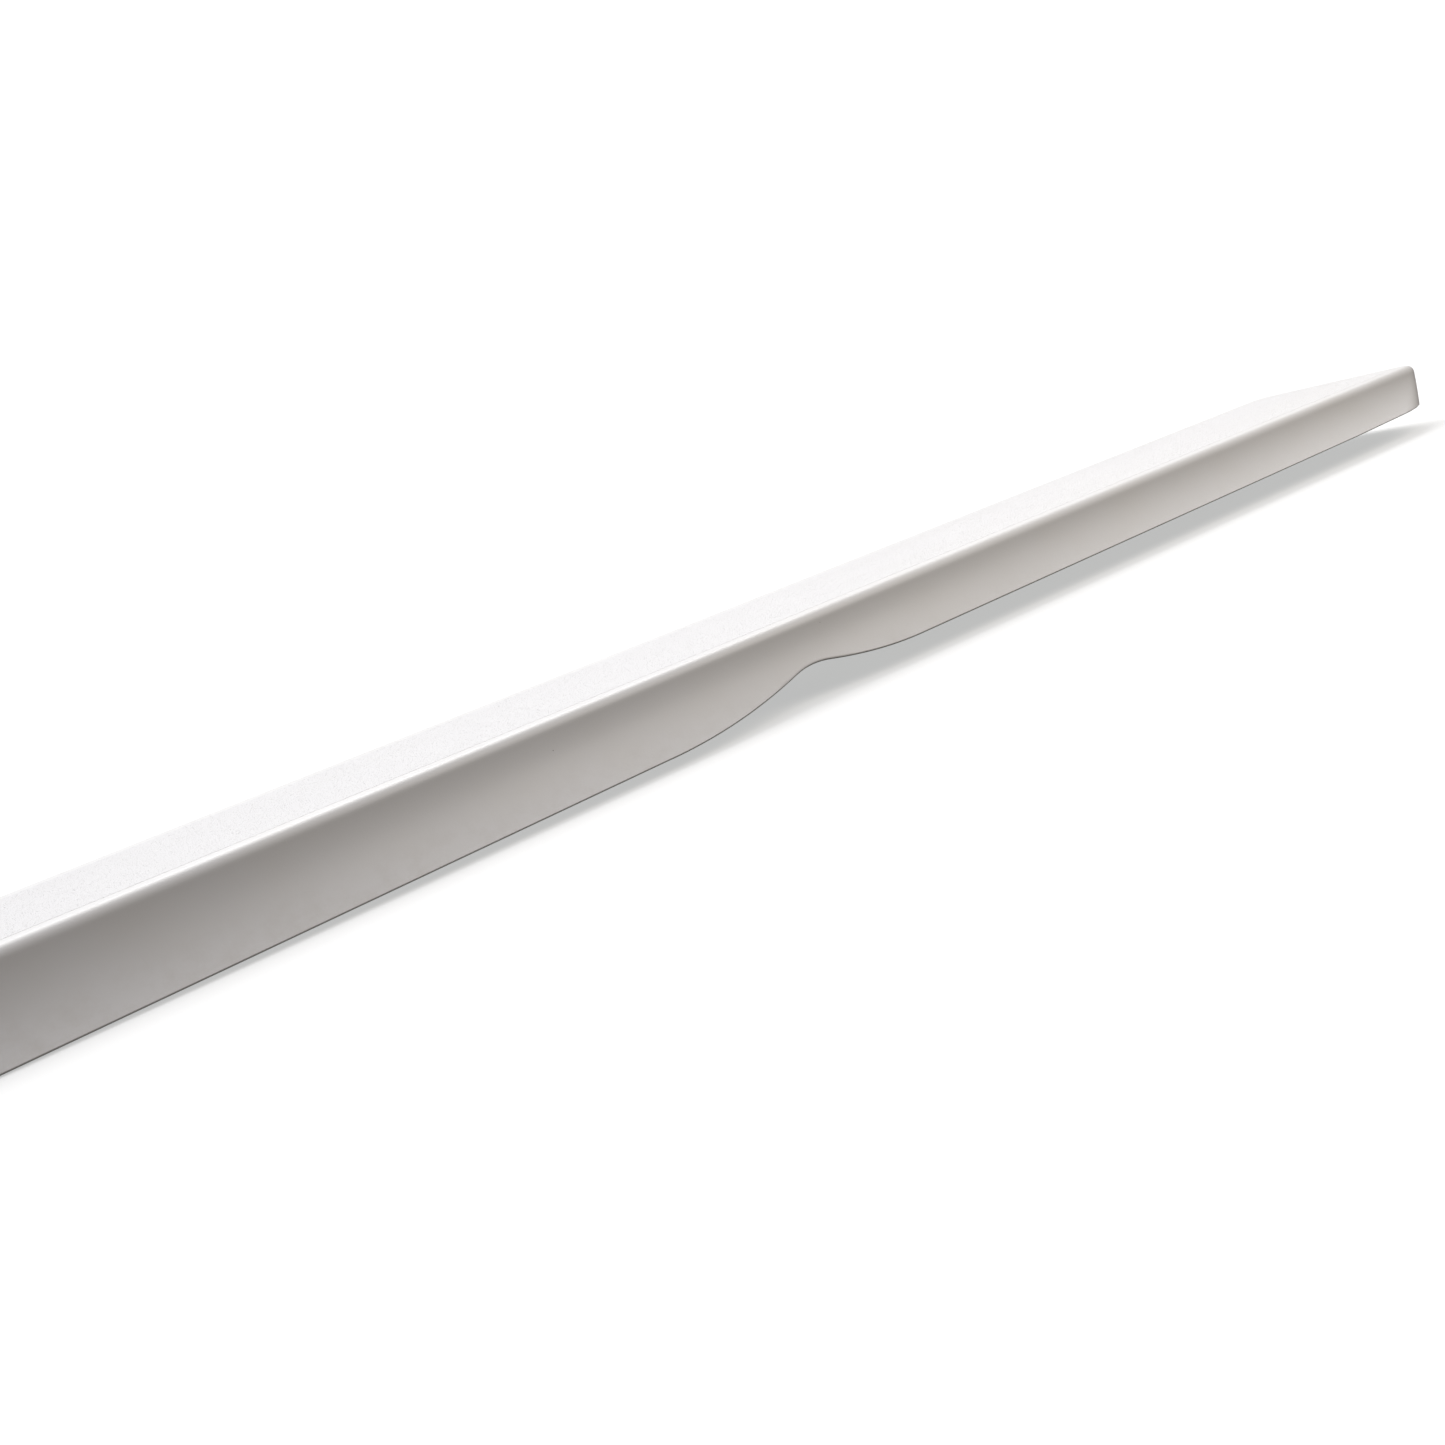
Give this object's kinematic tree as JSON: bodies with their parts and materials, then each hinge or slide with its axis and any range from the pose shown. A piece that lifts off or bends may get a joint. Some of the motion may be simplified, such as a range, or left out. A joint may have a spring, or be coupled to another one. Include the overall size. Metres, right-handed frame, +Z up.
{
  "type": "diving board",
  "caption": "Long low moulded diving board with a flat non-slip deck, cove-shaped flared side skirts, an arched fulcrum notch in each skirt and bolt holes at the rear.",
  "frame": {"origin": "middle of the box around the board, at the height of its lowest edge, the rear lip", "axes": "+X along the board from the bolted end to the diver's tip, +Y across it to the diver's left, +Z up out of the level deck"},
  "size_m": [2.4354, 0.4026, 0.1037],
  "materials": {
    "white_gelcoat": "polished white gelcoat over glass fibre",
    "sanded_tread": "fine sand set in white coating",
    "glass_laminate": "glass mat in polyester resin, open weave",
    "fir_core": "planed and glued",
    "hardwood_block": "planed and glued",
    "bonding_resin": "cast resin filled with chopped glass",
    "sleeve_metal": "turned stainless",
    "pad_rubber": "moulded, matt"
  },
  "bodies": {
    "root": {"deck_shell": "white_gelcoat", "anti_slip_tread": "sanded_tread", "upper_laminate": "glass_laminate", "lower_laminate": "glass_laminate", "core_stringer_01": "fir_core", "core_stringer_02": "fir_core", "core_stringer_03": "fir_core", "core_stringer_04": "fir_core", "core_stringer_05": "fir_core", "core_stringer_06": "fir_core", "core_stringer_07": "fir_core", "core_stringer_08": "fir_core", "rear_end_block": "hardwood_block", "tip_end_block": "hardwood_block", "left_edge_rail": "bonding_resin", "right_edge_rail": "bonding_resin", "bolt_sleeve_left": "sleeve_metal", "bolt_sleeve_right": "sleeve_metal", "fulcrum_pad": "pad_rubber"}
  },
  "joints": []
}
